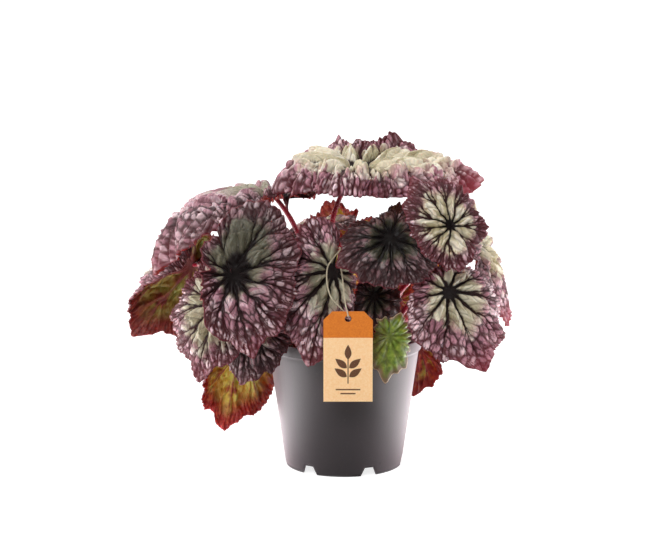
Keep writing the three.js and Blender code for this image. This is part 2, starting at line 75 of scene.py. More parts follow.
# What else a leaf has, unless its line says otherwise.
# Shape: breadth, base and skew of the heart, how late its slope comes (curl), its waves, by how many
# degrees the basal lobes lap, the ruffle of its margin in mm, and how its stalk bends: the neck's angle,
# and the lift and reach of the curve's two ends in mm, or 0 where they grow with the stalk.
# Veins and puckers: bold main veins, coarse or long puckers, how much further out the net starts
# (smooth), and by how many mm pale patches bloom over the veins near the margin.
# Colour: the dark heart's share, widened on big_left and right_inner partly as painted shade, a red tip
# that is a painted glow of light shining through, how much painted shade darkens the blade, with more
# of it (veer) towards one angle and more silver towards another, and painted shade and gold on the
# underside, where 0 gold is as much as silver.
PLAIN_LEAF = dict(breadth=1, base=1, skew=0.08, curl=1.5, waves=5, lap=9, ruffle=2.4, neck=35, lift=0,
                  reach=0, bold=1, coarse=1, long=1, smooth=0, bloom=0, heart=0.13, red=0.1, deep=0,
                  veer=(0, 0, 0, 0), dusk=0, gold=0, green=False)
LEAVES = [Sizes(**{**PLAIN_LEAF, **dict(zip(COLUMNS, row)), **more}) for *row, more in [
    ("crown", (10, -5, 229), (34, 83), 46, 97, (60, -65, 120, 95), 14, 5, (-9, 3), 0.85, 0.6,
     dict(breadth=0.95, base=1.26, skew=-0.1, curl=3.2, waves=7, ruffle=4.2, bold=1.7, coarse=0.7,
          smooth=0.2, bloom=0.15, heart=0.19, red=0.45)),
    ("under_crown", (-14, 40, 184), (-60, 80), -20, 46, (40, 30, 10, 10), 5, 2, (-4, 14), 0.4, 0.3, {}),
    ("arch_left", (-53, -12, 210), (-84, 84), 0, 124, (95, -3, 25, 28), 8, 2, (-18, 4), 0.1, 0.2,
     dict(breadth=0.65, base=0.55, skew=-0.2, curl=1.9, ruffle=3.2, coarse=0.62, bloom=0.1, deep=0.4)),
    ("hang_left", (-120, 41, 150), (-165, 15), 42, 74, (30, 150, 20, 30), 5, 2, (-26, 8), 0.7, 0.3,
     dict(breadth=1.2, base=0.8, skew=0.15, curl=1.3, dusk=0.65, gold=0.9)),
    ("front_left", (-93, -54, 137), (-30, 20), -8, 61, (20, 30, 20, 20), 5, 2, (-24, -8), 0.8, 0.25,
     dict(skew=-0.1, bloom=0.1, deep=0.12)),
    ("big_left", (-82, -73, 159), (-5, 20), 15, 62, (20, 30, 5, -80), 5, 3, (-14, -10), 0.45, 0.15,
     dict(base=1.4, skew=0.25, coarse=1.25, long=1.2, heart=0.3, deep=0.5, veer=(0.35, 150, 0.5, 180))),
    ("low_left", (-70, -49, 124), (-5, 0), -8, 54, (20, 30, 20, 30), 5, 2, (-18, -20), 0.4, 0.9,
     dict(base=0.75, deep=0.65)),
    ("under_left", (-80, 22, 88), (-160, 10), 12, 70, (20, 100, 20, -30), 5, 2, (-32, -4), 0.75, 0.6,
     dict(skew=-0.1, lift=45, reach=30, neck=70, gold=1.3)),
    ("centre", (-8, -58, 160), (10, 4), -16, 72, (10, 105, 30, 30), 8, 2, (-2, -20), 0.4, 0.1,
     dict(breadth=0.8, base=1.05, skew=-0.15, lap=0, bloom=0.25, veer=(0.4, -60, 0, 0))),
    ("right_inner", (34, -60, 184), (8, 25), -65, 46, (10, 20, 20, 85), 5, 2, (8, -12), 0.3, 0.6,
     dict(breadth=1.25, base=1.4, heart=0.3, deep=1)),
    ("rosette", (77, -60, 193), (5, 12), -140, 48, (40, 30, 20, 30), 35, 2, (18, -10), 0.8, 0.8,
     dict(base=1.3, bold=0.8, smooth=0.08, heart=0.15)),
    ("far_right", (103, 8, 175), (75, 25), 0, 72, (20, 20, 20, 20), 5, 2, (26, 2), 0.5, 0.95,
     dict(base=1.25, bloom=0.3, red=0.5)),
    ("front_right", (76, -59.5, 145), (15, 20), 18, 64, (20, 60, 40, 30), 12, 2, (24, -23), 0.5, 0.4,
     dict(breadth=1.15, base=0.8, skew=0.04, coarse=1.3, bloom=0.4, heart=0.16, red=0.3)),
    ("young", (33, -64, 112), (5, 0), -5, 34, (10, 80, 20, 80), 5, 1, (10, -30), 0.5, 0.5,
     dict(breadth=0.95, veer=(0.55, -80, 0, 0), green=True)),
    ("under_right", (62, 46, 82), (150, 10), 10, 42, (20, 20, 20, 20), 5, 2, (30, 10), 0.2, 0.5,
     dict(lift=45, reach=30, neck=70)),
    ("inner_right", (22, -41, 139), (0, 0), 5, 33, (20, 20, 20, 20), 8, 2, (16, -24), 0.3, 0.4,
     dict(deep=1)),
    ("back_left", (-74, 82, 150), (-138, 35), 0, 76, (40, 30, 10, 30), 10, 3, (-20, 16), 0.7, 0.4, {}),
    ("back_centre", (4, 85, 162), (175, 35), 12, 80, (35, 30, 20, 30), 12, 3, (0, 26), 0.6, 0.3, {}),
    ("back_right", (69, 61, 147), (140, 40), -10, 62, (45, 30, 20, 30), 12, 3, (16, 14), 0.8, 0.5, {}),
    ("back_low_left", (-48, 70, 120), (-160, 15), -12, 60, (25, 30, 20, 30), 8, 2, (-12, 28), 0.5, 0.5, {}),
    ("back_low_right", (46, 72, 118), (155, 15), 15, 58, (25, 30, 20, 30), 8, 2, (12, 28), 0.6, 0.2, {}),
]]

# ---- Numbers and meshes ----


def lerp(a, b, t):
    return a + (b - a) * t


def smooth(x, low, high):
    """0 below low, 1 above high, and an S-curve between."""
    t = clip((x - low) / (high - low), 0, 1)
    return t * t * (3 - 2 * t)


def unit(v):
    return v / maximum(np.linalg.norm(v, axis=-1, keepdims=True), 1e-9)


def join(*parts):
    """Points or vectors from their coordinates, each a number or an array."""
    return stack(np.broadcast_arrays(*parts), axis=-1)


def chain(*parts):
    """The parts one after another, as one array."""
    return np.concatenate(parts)


def circle(angle):
    return join(cos(angle), sin(angle))


def turns(count):
    """Angles evenly spaced round a circle."""
    return linspace(0, 2 * pi, count, endpoint=False)


def ripple(points, size, seed, waves=5):
    """Smooth noise of about -1 to 1: a sum of sine waves about size long, in seeded directions."""
    rng = np.random.default_rng(seed)
    turn = unit(rng.normal(size=(waves, points.shape[-1])))
    pitch = 2 * pi / (size * rng.uniform(0.7, 1.4, waves))
    phase = rng.uniform(0, 2 * pi, waves)
    return sin(points @ turn.T * pitch + phase).sum(-1) / waves ** 0.5 / 1.5


def grid_faces(rows, columns, start=0, closed=False):
    """Quads of a grid whose points are numbered row by row. A closed grid's last column joins its first."""
    i = arange(rows - 1)[:, None] * columns
    j = arange(columns if closed else columns - 1)[None, :]
    k = (j + 1) % columns
    quads = stack([i + j, i + columns + j, i + columns + k, i + k], axis=-1)
    return quads.reshape(-1, 4) + start


def ring_faces(rows, columns):
    """Quads of a grid that closes on itself both ways."""
    return grid_faces(rows + 1, columns, 0, True) % (rows * columns)


def fan_faces(pole, ring):
    """Triangles from a pole to each step round a closed ring of point numbers."""
    return stack([np.full(len(ring), pole), ring, roll(ring, -1)], axis=-1)


def new_object(name, data):
    """A new object in the scene, at the origin."""
    thing = bpy.data.objects.new(name, data)
    bpy.context.scene.collection.objects.link(thing)
    return thing


def make_piece(name, points, faces, materials, replaces, fields=(), face_materials=None, soft=True):
    """One object from points in mm from the pot's axis. fields are numbers or vectors kept at the points,
    and soft shading is for curved surfaces."""
    mesh = bpy.data.meshes.new(name)
    points = (np.asarray(points) + AXIS) * MM
    sizes = chain(*[np.full(len(f), f.shape[1]) for f in faces])
    corners = chain(*[f.ravel() for f in faces])
    mesh.vertices.add(len(points))
    mesh.vertices.foreach_set("co", points.astype(np.float32).ravel())
    mesh.loops.add(len(corners))
    mesh.loops.foreach_set("vertex_index", corners.astype(np.int32))
    mesh.polygons.add(len(sizes))
    mesh.polygons.foreach_set("loop_start", (cumsum(sizes) - sizes).astype(np.int32))
    mesh.polygons.foreach_set("use_smooth", np.full(len(sizes), soft))
    if face_materials is not None:
        mesh.polygons.foreach_set("material_index", face_materials.astype(np.int32))
    for key, values in dict(fields).items():
        kind, part = ("FLOAT_VECTOR", "vector") if values.ndim == 2 else ("FLOAT", "value")
        field = mesh.attributes.new(key, kind, "POINT")
        field.data.foreach_set(part, values.astype(np.float32).ravel())
    mesh.update()
    mesh.validate()
    piece = new_object(name, mesh)
    for material in materials:
        mesh.materials.append(material)
    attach(piece, "root")
    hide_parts(replaces)


# ---- Materials ----

# The setting that a node's mode is, and the kinds of node, with their modes, that come up most: an S-curve
# between two levels, a product, a product plus a number, and a blend of two colours.
MODES = dict(Attribute="attribute_name", MapRange="interpolation_type", Math="operation",
             Mix="data_type", TexVoronoi="feature", VectorMath="operation")
EASE, TIMES, TIMES_PLUS, BLEND = "MapRange SMOOTHSTEP", "Math MULTIPLY", "Math MULTIPLY_ADD", "Mix RGBA"


def colour(code):
    """Linear red, green, blue and alpha of an sRGB hex colour."""
    parts = [int(code[i:i + 2], 16) / 255 for i in (1, 3, 5)]
    return (*[p / 12.92 if p <= 0.04045 else ((p + 0.055) / 1.055) ** 2.4 for p in parts], 1)


def shown(sockets):
    """The sockets that a node shows in its mode, by number and by name."""
    here = [socket for socket in sockets if socket.enabled]
    return {**dict(enumerate(here)), **{socket.name: socket for socket in here}}


def add(tree, kind, inputs=(), out=0, stops=()):
    """Adds one shader node and gives one of its outputs. kind may end in the node's mode. inputs are
    sockets to link or values to set, by name or in the node's order. stops are a colour ramp's."""
    kind, *modes = kind.split()
    node = tree.nodes.new("ShaderNode" + kind)
    for mode in modes:
        setattr(node, MODES[kind], mode)
    sockets = shown(node.inputs)
    for key, value in inputs.items() if isinstance(inputs, dict) else enumerate(inputs):
        if isinstance(value, bpy.types.NodeSocket):
            tree.links.new(value, sockets[key])
        else:
            sockets[key].default_value = value
    for k, (position, code) in enumerate(dict(stops).items()):
        elements = node.color_ramp.elements
        stop = elements[k] if k < 2 else elements.new(position)
        stop.position, stop.color = position, colour(code)
    return shown(node.outputs).get(out)


def new_material(name, reads):
    """An empty material, what adds a node to it, and a socket for each thing that it reads: place is
    Object coordinates, and the others are the mesh's fields, of which flat and net are vectors."""
    material = bpy.data.materials.new(name)
    material.use_nodes = True
    material.node_tree.nodes.clear()
    node = partial(add, material.node_tree)
    return material, node, *[
        node("TexCoord", out="Object") if read == "place" else
        node("Attribute " + read, out="Vector" if read in ("flat", "net") else "Fac")
        for read in reads.split()]


def finish_surface(material, base, layers=(), relief=(), **inputs):
    """Lays each colour over the base where its mask is, makes a bump of a relief's height, its depth in
    mm and its strength, and joins a Principled shader to the output. Underscores stand for spaces."""
    node = partial(add, material.node_tree)
    for mask, code in layers:
        base = node(BLEND, (mask, base, colour(code)))
    if relief:
        height, depth, strength = (*relief, 1)[:3]
        inputs["Normal"] = node("Bump", dict(Height=height, Distance=depth * MM, Strength=strength))
    inputs = {key.replace("_", " "): value for key, value in inputs.items()}
    node("OutputMaterial", [node("BsdfPrincipled", {"Base Color": base, **inputs})])
    return material


# Living leaf flesh under a waxy skin passes red light furthest, about a millimetre.
FLESH = dict(Subsurface_Radius=(1, 0.45, 0.25), Subsurface_Scale=1.1 * MM, IOR=1.45)
PAPILLA = 0.9  # width of the skin's papillae, coarser than life so that they show


def leaf_upper():
    """Upper skin: a waxy, puckered blade. Air under the skin makes each pucker silver-green, the margin
    turns rose and mauve, and dark burgundy follows every vein and fills the middle. grain is the ragged
    edge of its patches, 2.4 mm wide, and drift their slow change of tone, over 14 mm."""
    skin, node, vein, side, share, edge, cell, silver, warm, tip, heart, deep, flat, net = new_material(
        "leaf_upper_skin", "vein side share edge cell silver warm tip heart deep flat net")
    grain = node("TexNoise", (flat, 1 / 2.4, 3))
    drift = node("TexNoise", (flat, 1 / 14, 2))
    # Where silver gives way to rose: further out on broad-patched leaves, and uneven from pucker to pucker.
    reach = node(TIMES_PLUS, (silver, 0.5, 0.24))
    reach = node(TIMES_PLUS, (cell, 0.16, reach))
    beyond = node("Math SUBTRACT", (share, reach))
    rosy = node(EASE, (beyond, -0.12, 0.12))
    # A pale patch stops short of the veins, by a ragged edge, and the more so towards the margin.
    inside = node("Math ADD", (vein, node(TIMES_PLUS, (grain, 1.6, -0.8))))
    inside = node(TIMES_PLUS, (rosy, -0.1, inside))
    patch = node(EASE, (inside, 0, 0.8))
    from_heart = node("Math SUBTRACT", (node(TIMES_PLUS, (grain, 0.1, share)), heart))
    patch = node(TIMES, (patch, node(EASE, (from_heart, 0, 0.12))))
    grey_green = node("ValToRGB", [cell], stops={0: "#84806a", 0.5: "#a69f88", 1: "#c9c2ac"})
    cream = node("ValToRGB", [cell], stops={0: "#b2a47c", 0.5: "#d6c9ab", 1: "#f0e6d4"})
    silvered = node(BLEND, (warm, grey_green, cream))
    blush = node("Mix", (0.5, drift, cell))
    rose = node("ValToRGB", [blush], stops={0.24: "#8c5966", 0.46: "#c48f9c", 0.7: "#efd0d6"})
    pale = node(BLEND, (rosy, silvered, rose))
    # Painted shade: where a blade sits in shadow its patches turn dark olive, a little less on the rose
    # margin.
    painted_shade_mix = node(TIMES, (node("MapRange", (rosy, 0, 1, 1, 0.62)), deep))
    pale = node(BLEND, (painted_shade_mix, pale, colour("#2c2a1a")))
    # Fine veins: the slanting side veins cross each patch faintly, and a net 2.4 mm wide fills the margin.
    faint = node("MapRange", (rosy, 0, 1, 0.4, 0.95))
    slanting = node(EASE, (side, -0.1, 0.8, faint, 0))
    mesh = node("TexVoronoi DISTANCE_TO_EDGE", dict(Vector=net, Scale=1, Randomness=0.8))
    line = node(EASE, (mesh, 0.02, 0.16, 1, 0))
    dark = node(EASE, (beyond, -0.25, 0.15, 0.1, 0.35))
    line = node("Math MAXIMUM", (node(TIMES, (line, dark)), slanting))
    patch = node(TIMES, (patch, node("Math SUBTRACT", (1, line))))
    ground = node("ValToRGB", [share], stops={0.15: "#170a09", 0.6: "#301012", 1: "#521a20"})
    # Painted shade darkens the ground towards near-black as well.
    ground = node(BLEND, (painted_shade_mix, ground, colour("#0e0605")))
    rim = node(EASE, (edge, 0.2, 1.6, 0.8, 0))
    # Papillae of the skin on top of the net's dimples.
    papillae = node("TexVoronoi", (flat, 1 / PAPILLA))
    height = node(TIMES_PLUS, (papillae, -0.25, node("MapRange", (mesh, 0, 0.35))))
    # The red at the tip is a painted glow of light shining through the thin blade; the rim is the margin's
    # own burgundy.
    return finish_surface(
        skin, node(BLEND, (patch, ground, pale)), [(rim, "#641d28"), (tip, "#a3293a")], (height, 0.5),
        Roughness=node("MapRange", (grain, 0, 1, 0.34, 0.54)), Specular_IOR_Level=0.35,
        Subsurface_Weight=0.15, **FLESH)


def leaf_under():
    """Underside: red flesh and yellow-green puckers with raised red veins. The flesh lets light through, and
    both are also coloured brighter, more orange and more yellow, as a painted glow of light shining through
    from behind.
    """
    skin, node, vein, share, edge, dusk, cell, rib, gold, flat, net = new_material(
        "leaf_underside", "vein share edge dusk cell rib gold flat net")
    grain = node("TexNoise", (flat, 1 / 4, 3))
    drift = node("TexNoise", (flat, 1 / 16, 1))
    inside = vein
    for field, weight in ((grain, 4), (drift, 9), (gold, 3)):
        inside = node(TIMES_PLUS, (field, weight, inside))
    patch = node(EASE, (inside, 8, 12))
    middle = node(TIMES, (node(EASE, (share, 0.9, 0.6)), patch))
    # Painted glow: the flesh's orange and the puckers' yellow-green are lighter than the underside's own
    # colours, standing in for light shining through.
    flesh = node("ValToRGB", [grain], stops={0.25: "#781512", 0.5: "#9c281e", 0.75: "#c25a30"})
    green = node("ValToRGB", [cell], stops={0: "#c4963c", 0.4: "#cbba52", 1: "#dbd86c"})
    raised = node(EASE, (rib, -1, 0.2, 0.7, 0))
    rim = node(EASE, (edge, 0.5, 5, 0.7, 0))
    mesh = node("TexVoronoi DISTANCE_TO_EDGE", dict(Vector=net, Scale=1, Randomness=0.8))
    height = node("MapRange", (mesh, 0, 0.25, 1, 0))
    # The last layer is painted shade: red-brown near-black over an underside that sits in shadow.
    return finish_surface(skin, node(BLEND, (middle, flesh, green)),
                          [(raised, "#8a2024"), (rim, "#971c22"), (dusk, "#2a0c0a")], (height, 0.3, 0.8),
                          Roughness=0.55, Subsurface_Weight=0.7, **FLESH)


def young_upper():
    """Young blade: bright green with a bronze-purple margin and paler, still shallow veins."""
    skin, node, vein, share, edge, deep, flat = new_material("young_leaf_skin", "vein share edge deep flat")
    grain = node("TexNoise", (flat, 1 / 4, 3))
    green = node("ValToRGB", [grain], stops={0.3: "#4a6018", 0.5: "#6c8226", 0.7: "#93a23c"})
    line = node(EASE, (vein, -0.4, 1, 0.45, 0))
    margin = node(EASE, (node(TIMES_PLUS, (grain, 0.4, share)), 0.96, 1.16))
    rim = node("MapRange", (edge, 0.2, 1.2, 1, 0))
    papillae = node("TexVoronoi", (flat, 1 / PAPILLA))
    # The last layer is painted shade: dark brown on the side of the young blade that sits in shadow.
    return finish_surface(
        skin, green, [(line, "#423c18"), (margin, "#6c563e"), (rim, "#b0987a"), (deep, "#4a2418")],
        (papillae, 0.1), Roughness=0.42, Subsurface_Weight=0.4, **FLESH)


def stalk_skin():
    """Fleshy leaf stalk: smooth, sappy crimson skin with pale flecks, greener towards its foot."""
    skin, node, place, along = new_material("stalk_crimson_skin", "place along")
    drift = node("TexNoise", (place, 1 / (9 * MM), 3))
    red = node("ValToRGB", [drift], stops={0.3: "#6f0f22", 0.5: "#911a32", 0.7: "#b32a44"})
    fleck = node("MapRange", (node("TexVoronoi", (place, 1 / (2.4 * MM))), 0.12, 0.24, 0.6, 0))
    low = node(EASE, (along, 0.05, 0.3, 0.65, 0))
    return finish_surface(skin, red, [(fleck, "#d88a8f"), (low, "#7c5a34")], (drift, 0.2),
                          Roughness=0.38, Subsurface_Weight=0.3, **FLESH)


def stalk_hair():
    """Soft leaf hairs: thin, pale pink, slightly glossy."""
    hair, node, place = new_material("stalk_hair", "place")
    drift = node("TexNoise", (place, 1 / (3 * MM)))
    return finish_surface(hair, node("ValToRGB", [drift], stops={0.3: "#c98a92", 0.7: "#ecd2cd"}),
                          Roughness=0.4)


def rhizome_bark():
    """Rhizome: knobbly brown-green skin, corky between its rings of old leaf scars."""
    bark, node, place = new_material("rhizome_corky_skin", "place")
    drift = node("TexNoise", (place, 1 / (5 * MM), 5))
    base = node("ValToRGB", [drift], stops={0.3: "#3b2418", 0.5: "#5f4630", 0.75: "#8a6a45"})
    return finish_surface(bark, base, (), (node("TexVoronoi", (place, 1 / (1.6 * MM))), 0.5), Roughness=0.8)


def compost():
    """Peat compost: moist dark brown fibres and crumbs, with a few dry, lighter ones."""
    peat, node, place = new_material("peat_compost", "place")
    crumb = node("TexVoronoi", (place, 1 / (2.2 * MM)), "Color")
    drift = node("TexNoise", (place, 1 / (6 * MM), 6))
    tone = node("Mix", (0.5, node("SeparateColor", [crumb]), drift))
    base = node("ValToRGB", [tone], stops={0.2: "#150d09", 0.55: "#2f2018", 0.9: "#6b4c33"})
    return finish_surface(peat, base, (), (drift, 1.2), Roughness=0.95)


def pot_plastic():
    """Injection-moulded polypropylene: anthracite, satin, with a fine spark-eroded grain and faint flow,
    a little dust, and a gate mark, the dark dimple 2.4 mm wide where the melt went into the mould."""
    plastic, node, place = new_material("anthracite_polypropylene", "place")
    flow = node("TexNoise", (place, 1 / (40 * MM), 2))
    base = node("ValToRGB", [flow], stops={0.3: "#171315", 0.7: "#1e191b"})
    dust = node("TexNoise", (place, 1 / (1.5 * MM), 4))
    dust = node("MapRange", (dust, 0.62, 0.8, 0, 0.12))
    gate = node("VectorMath DISTANCE", (place, (AXIS + GATE_MARK) * MM))
    gate = node(EASE, (gate, 0.9 * MM, 1.5 * MM, 0.9, 0))
    grain = node("TexNoise", (place, 1 / (0.8 * MM), 2))
    return finish_surface(plastic, base, [(dust, "#6a6664"), (gate, "#050405")], (grain, 0.03),
                          Roughness=node("MapRange", (flow, 0, 1, 0.42, 0.55)), IOR=1.49, Sheen_Weight=1,
                          Sheen_Roughness=0.5, Sheen_Tint=colour("#f2dfe8"))


def printed_card():
    """Coated card: an orange printed header over a peach field, with a little paper tooth under the coat."""
    card, node, place = new_material("printed_coated_card", "place")
    fibre = node("TexNoise", (place, 1 / (1.2 * MM), 4))
    header_foot = (TAG.at[2] + TAG.drop - TAG.header) * MM
    upper = node("Math GREATER_THAN", (node("SeparateXYZ", [place], "Z"), header_foot))
    field = node("ValToRGB", [fibre], stops={0.3: "#f6c48c", 0.7: "#fbd3a2"})
    header = node("ValToRGB", [fibre], stops={0.3: "#cc6a0c", 0.7: "#dc7c18"})
    return finish_surface(card, node(BLEND, (upper, field, header)), (), (fibre, 0.04), Roughness=0.5)


def printed_ink():
    """Printing ink: a matt brown film, a little uneven where the card's tooth shows through."""
    ink, node, place = new_material("dark_brown_ink", "place")
    fibre = node("TexNoise", (place, 1 / (0.8 * MM), 3))
    thin = node("MapRange", (fibre, 0, 1, 0, 0.12))
    return finish_surface(ink, colour("#4a2412"), [(thin, "#e9a25c")], Roughness=0.6)


def elastic():
    """Latex-cored elastic: cream yarn wound round it, so fine slanting ridges run along the cord."""
    yarn, node, turn = new_material("wound_elastic", "turn")
    ridge = node("Math SINE", [node(TIMES, (turn, 2 * pi))])
    tone = node("MapRange", (ridge, -1))
    # Painted shade: darker in the grooves between turns and lighter on their crests, following the bump.
    base = node("ValToRGB", [tone], stops={0: "#978b70", 1: "#d3c8ae"})
    return finish_surface(yarn, base, (), (tone, 0.12), Roughness=0.6)


# ---- Leaf blades ----

SECTOR_EDGES = radians([-SINUS, *VEINS, SINUS])


def leaf_axes(leaf):
    """Unit vectors out of the upper face, towards the tip and to the leaf's left, from its three angles."""
    a, e, r = radians([*leaf.face, leaf.roll])
    normal = array([sin(a) * cos(e), -cos(a) * cos(e), sin(e)])
    downhill = array([sin(a) * sin(e), -cos(a) * sin(e), -cos(e)])
    tip = cos(r) * downhill + sin(r) * cross(normal, downhill)
    return normal, tip, cross(normal, tip)


def sector(angle):
    """The two edges of the sector between main veins that holds each angle."""
    k = clip(np.searchsorted(SECTOR_EDGES, angle - 1e-9), 1, len(SECTOR_EDGES) - 1)
    return SECTOR_EDGES[k - 1], SECTOR_EDGES[k]


def between(angle):
    """0 on a main vein and at the sinus, 1 midway between two veins, along half a sine wave."""
    low, high = sector(angle)
    return sin(pi * (angle - low) / (high - low))


def ray_length(angle, leaf):
    """Length of the ray at an angle from the midrib: an oblique heart with a drawn-out tip, whose cosine
    terms make it longer at the tip than at the base, and whose edge dips between main veins."""
    c, s = cos(angle), sin(angle)
    heart = 0.55 + 0.17 * c + 0.18 * c * c + 0.12 * exp(-((angle / 0.2) ** 2))
    oval = 1 / hypot(c, s / leaf.breadth)
    rounding = 1 - 0.3 * smooth(np.abs(angle), radians(150), radians(SINUS))
    lobes = rounding * (1 + (leaf.base - 1) * smooth(-c, -0.4, 0.8))
    oblique = 1 + leaf.skew * s * (1.5 - c)
    return leaf.length * heart * oval * lobes * oblique * (1 - 0.07 * between(angle))


def slope_along(share, angle, leaf):
    """Slope of the ray at an angle, part of the way out: from the funnel's rise to the slope of the edge,
    which is the four stated slopes shared out by squared cosines."""
    tip, left, base, right = leaf.droop
    c, s = cos(angle), sin(angle)
    edge = radians(c * c * where(c > 0, tip, base) + s * s * where(s > 0, left, right))
    rise = radians(leaf.rise)
    return (edge + rise) * share ** leaf.curl - rise


def fork(share, start):
    """How far a branch has moved over by now: it leaves at start, quickly at first, and 1 at the edge."""
    return 1 - (1 - clip((share - start) / (1 - start), 0, 1)) ** 2


def chance(number):
    """A number from 0 to 1 that looks random, the same for the same number."""
    return np.modf(np.abs(sin(number)) * 43758.5453)[0]


def blisters(u, v, seed):
    """Irregular cells, one to each unit square of (u, v), each nearest to one of some jittered points.
    Gives half the gap from nearest to second nearest, 0 on a cell's edge, and a number for each cell."""
    scatter = lambda a, b, k: chance(a * 127.1 + b * 311.7 + seed + k)
    nearest, second, tone = np.full(u.shape, 9.0), np.full(u.shape, 9.0), np.zeros(u.shape)
    for du, dv in np.ndindex(3, 3):
        a, b = np.floor(u) + du - 1, np.floor(v) + dv - 1
        away = hypot(a + 0.1 + 0.8 * scatter(a, b, 0) - u, b + 0.1 + 0.8 * scatter(a, b, 1) - v)
        second = minimum(second, maximum(nearest, away))
        tone = where(away < nearest, scatter(a, b, 2), tone)
        nearest = minimum(nearest, away)
    return (second - nearest) / 2, tone


def vein_map(reach, share, angle, leaf, seed):
    """Distances in mm from each point of the flattened blade to its veins, below 0 inside one, and a
    random number for each pucker. Main veins are rays. About halfway out each sends a branch a third of
    the way into the sectors beside it, and further out all of these send twigs a ninth of the way. Side
    veins leave a main vein at a slant and bend forwards, evenly spaced, so one is a level line of
    a - b / tan(slant) - bend b squared, where a runs along the main vein and b away from it. Towards
    the margin they lose themselves in a net of irregular blisters, longer than wide."""
    size = leaf.length / 62
    flat = (share * reach)[..., None] * circle(angle)
    wander = join(*[ripple(flat, 26, seed + k) + 0.5 * ripple(flat, 11, seed + k + 1) for k in (1, 3)])
    x, y = moveaxis(flat + 1.4 * smooth(share * reach, 2, 14)[..., None] * wander, -1, 0)
    r, angle = hypot(x, y), clip(np.arctan2(y, x), SECTOR_EDGES[0], SECTOR_EDGES[-1])
    mains = radians(VEINS)
    low, high = sector(angle)
    number = np.searchsorted(SECTOR_EDGES, (low + high) / 2) - 1
    across, place = r * (high - low), (angle - low) / (high - low)
    rng = np.random.default_rng(seed)
    branch_start, twig_start = rng.uniform(0.3, 0.46, (2, 10)), rng.uniform(0.58, 0.74, (4, 10))
    branches = [0 * place, fork(share, branch_start[0][number]) / 3,
                1 - fork(share, branch_start[1][number]) / 3, 1 + 0 * place]
    twigs = [line + turn * fork(share, start[number]) / 9
             for line, start in zip(branches, twig_start) for turn in (-1, 1)]
    to_line = lambda lines: across * np.min([np.abs(place - line) for line in lines], axis=0)
    rib = to_line([0, 1]) - leaf.bold * size ** 0.5 * lerp(1.9, 0.35, share ** 0.6)
    branch = to_line(branches) - lerp(0.5, 0.25, share)
    twig = to_line(twigs) - 0.16
    vein = minimum(minimum(rib, branch), twig) + leaf.bloom * smooth(share, 0.35, 0.65)
    nearest = np.abs(angle[..., None] - mains).argmin(-1)
    turn = angle - mains[nearest]
    along, away = r * cos(turn), r * np.abs(sin(turn))
    slant, bend, pitch = radians(44), 0.008 / size, 6.4 * size ** 0.7 * leaf.long
    phase = rng.uniform(0, 1, (len(mains), 2))[nearest, (turn > 0).astype(int)]
    count = (along - away / np.tan(slant) - bend * away ** 2) / pitch + phase
    count = count + 0.16 * ripple(flat, 9, seed + 9)
    steep = hypot(1, 1 / np.tan(slant) + 2 * bend * away)
    side = np.abs(count - np.round(count)) * pitch / steep - 0.1 - 0.4 * exp(-away / 5)
    cell = chance((np.round(count) + 17 * nearest + 151 * (turn > 0) + 977 * (place > 0.5)) * 12.9898 + seed)
    width, long = array([3.8, 6.4]) * size ** 0.5 * leaf.coarse
    edge, tone = blisters(0.75 * reach * angle / width, r / long, seed)
    outer = smooth(share + 0.1 * ripple(flat, 9, seed + 10) - leaf.smooth, 0.42, 0.62)
    side = minimum(side, edge * width - 0.22 + 6 * (1 - outer))
    cell = where(outer > 0.5, tone, cell)
    return dict(vein=vein, rib=rib, side=side, cell=cell, flat=join(*moveaxis(flat, -1, 0), 0))


